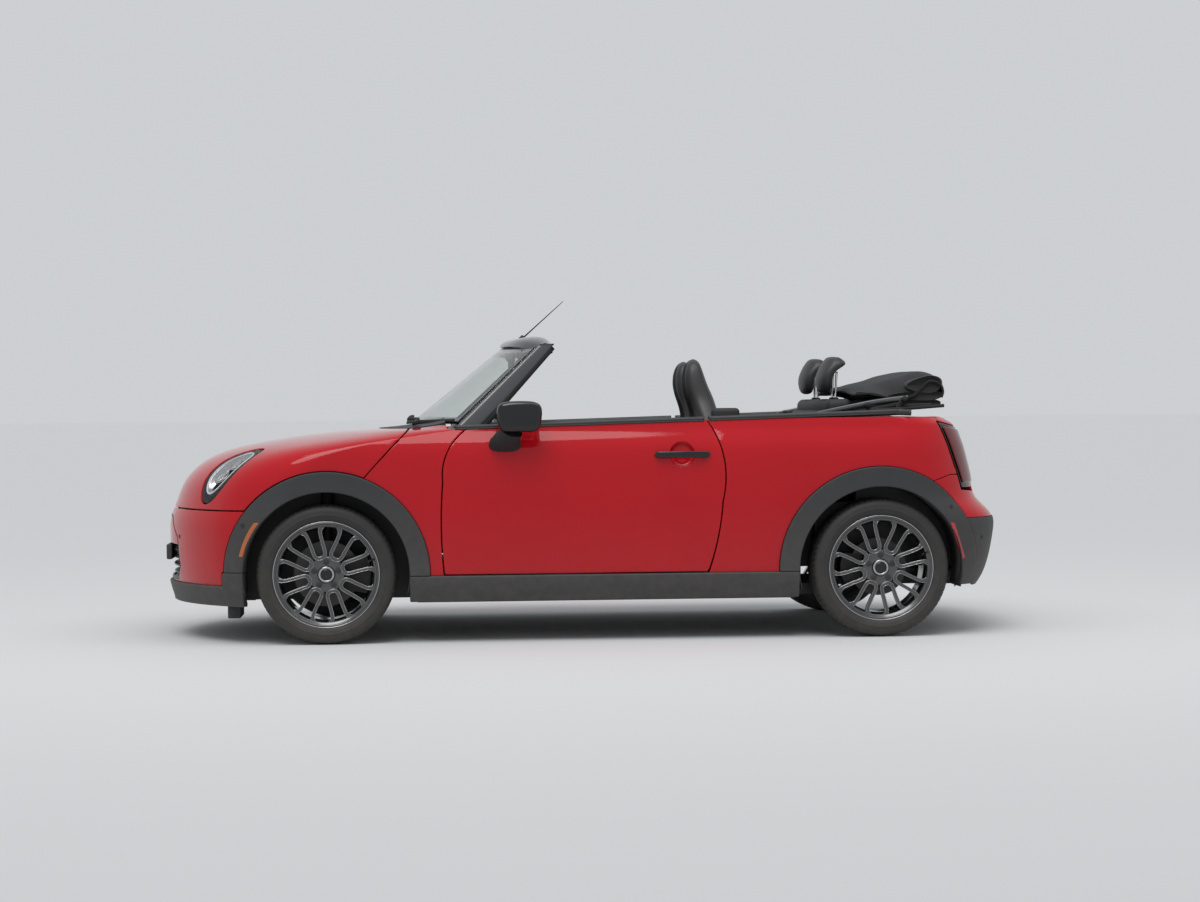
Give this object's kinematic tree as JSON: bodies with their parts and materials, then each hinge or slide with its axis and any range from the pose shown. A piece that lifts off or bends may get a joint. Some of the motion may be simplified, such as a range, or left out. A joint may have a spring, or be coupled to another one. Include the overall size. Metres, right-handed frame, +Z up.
{
  "type": "convertible car",
  "caption": "Small two-door convertible car with its soft top folded, opening doors, bonnet and tailgate, steered front wheels and a seated cabin.",
  "frame": {"origin": "on the ground under the middle of the car's box", "axes": "+X to the tail, +Y to the car's right, +Z up"},
  "size_m": [3.8959, 1.95, 1.5446],
  "materials": {
    "paint_red": "glossy solid red paint",
    "trim_black": "grained dark grey plastic",
    "gloss_black": "gloss black plastic",
    "underbody": "dark undercoat",
    "lamp_clear": "clear lens over bright reflector",
    "lamp_red": "dark red lens",
    "screen_paint": "dark glossy grey",
    "screen_glass": "clear laminated glass",
    "cabin_plastic": "soft-touch black",
    "seat_cover": "black knitted and synthetic cover",
    "roof_cloth": "black woven roof cloth",
    "steel": "bare steel",
    "casting": "grey casting",
    "alloy": "dark metallic grey paint, satin",
    "tyre": "black rubber",
    "disc": "machined faces"
  },
  "bodies": {
    "body": {"wings": "paint_red", "quarter_panels": "paint_red", "front_bumper": "paint_red", "front_lip": "trim_black", "rear_bumper": "paint_red", "rear_valance": "trim_black", "front_arch_trims": "trim_black", "rear_arch_trims": "trim_black", "sill_trims": "trim_black", "headlamps": "lamp_clear", "tail_lamps": "lamp_red", "rear_deck": "gloss_black", "body_tub": "underbody", "screen_frame": "screen_paint", "screen_glass": "screen_glass", "cowl": "trim_black", "dashboard": "cabin_plastic", "front_seats": "seat_cover", "rear_seat": "seat_cover", "soft_top": "roof_cloth", "roof_links": "steel", "antenna": "trim_black", "grille": "gloss_black", "engine": "casting", "front_subframe": "steel", "rear_axle": "steel", "exhaust": "steel"},
    "bonnet": {"bonnet": "paint_red"},
    "tailgate": {"tailgate": "paint_red"},
    "door_left": {"door_left": "paint_red", "mirror_left": "gloss_black"},
    "door_right": {"door_right": "paint_red", "mirror_right": "gloss_black"},
    "knuckle_left": {"knuckle_left": "casting"},
    "knuckle_right": {"knuckle_right": "casting"},
    "steering_wheel": {"steering_wheel": "cabin_plastic"},
    "front_wheel_left": {"front_tyre_left": "tyre", "front_rim_left": "alloy", "front_disc_left": "disc"},
    "front_wheel_right": {"front_tyre_right": "tyre", "front_rim_right": "alloy", "front_disc_right": "disc"},
    "rear_wheel_left": {"rear_tyre_left": "tyre", "rear_rim_left": "alloy", "rear_disc_left": "disc"},
    "rear_wheel_right": {"rear_tyre_right": "tyre", "rear_rim_right": "alloy", "rear_disc_right": "disc"}
  },
  "joints": [
    {"name": "steer_left", "type": "hinge", "parent": "body", "child": "knuckle_left", "pos_m": [-1.18, -0.68, 0.224], "axis": [0, 0.2164, 0.9763], "range_deg": [-35, 35]},
    {"name": "steer_right", "type": "hinge", "parent": "body", "child": "knuckle_right", "pos_m": [-1.18, 0.68, 0.224], "axis": [0, -0.2164, 0.9763], "range_deg": [-35, 35]},
    {"name": "steering_turn", "type": "hinge", "parent": "body", "child": "steering_wheel", "pos_m": [-0.32, -0.37, 0.905], "axis": [0.9135, 0, 0.4067], "range_deg": [-500, 500]},
    {"name": "roll_front_left", "type": "hinge", "parent": "knuckle_left", "child": "front_wheel_left", "pos_m": [-1.18, -0.75, 0.3125], "axis": [0, -1, 0], "continuous": true},
    {"name": "roll_front_right", "type": "hinge", "parent": "knuckle_right", "child": "front_wheel_right", "pos_m": [-1.18, 0.75, 0.3125], "axis": [0, -1, 0], "continuous": true},
    {"name": "roll_rear_left", "type": "hinge", "parent": "body", "child": "rear_wheel_left", "pos_m": [1.315, -0.75, 0.3125], "axis": [0, -1, 0], "continuous": true},
    {"name": "roll_rear_right", "type": "hinge", "parent": "body", "child": "rear_wheel_right", "pos_m": [1.315, 0.75, 0.3125], "axis": [0, -1, 0], "continuous": true},
    {"name": "door_left_hinge", "type": "hinge", "parent": "body", "child": "door_left", "pos_m": [-0.661, -0.861, 0.6], "axis": [0, 0, -1], "range_deg": [0, 68]},
    {"name": "door_right_hinge", "type": "hinge", "parent": "body", "child": "door_right", "pos_m": [-0.661, 0.861, 0.6], "axis": [0, 0, 1], "range_deg": [0, 68]},
    {"name": "bonnet_hinge", "type": "hinge", "parent": "body", "child": "bonnet", "pos_m": [-0.7875, 0, 0.962], "axis": [0, 1, 0], "range_deg": [0, 50]},
    {"name": "tailgate_hinge", "type": "hinge", "parent": "body", "child": "tailgate", "pos_m": [1.868, 0, 0.612], "axis": [0, 1, 0], "range_deg": [0, 85]}
  ],
  "couplings": [
    {"joint": "steer_right", "follows": "steer_left", "ratio": 1},
    {"joint": "steering_turn", "follows": "steer_left", "ratio": 14}
  ]
}
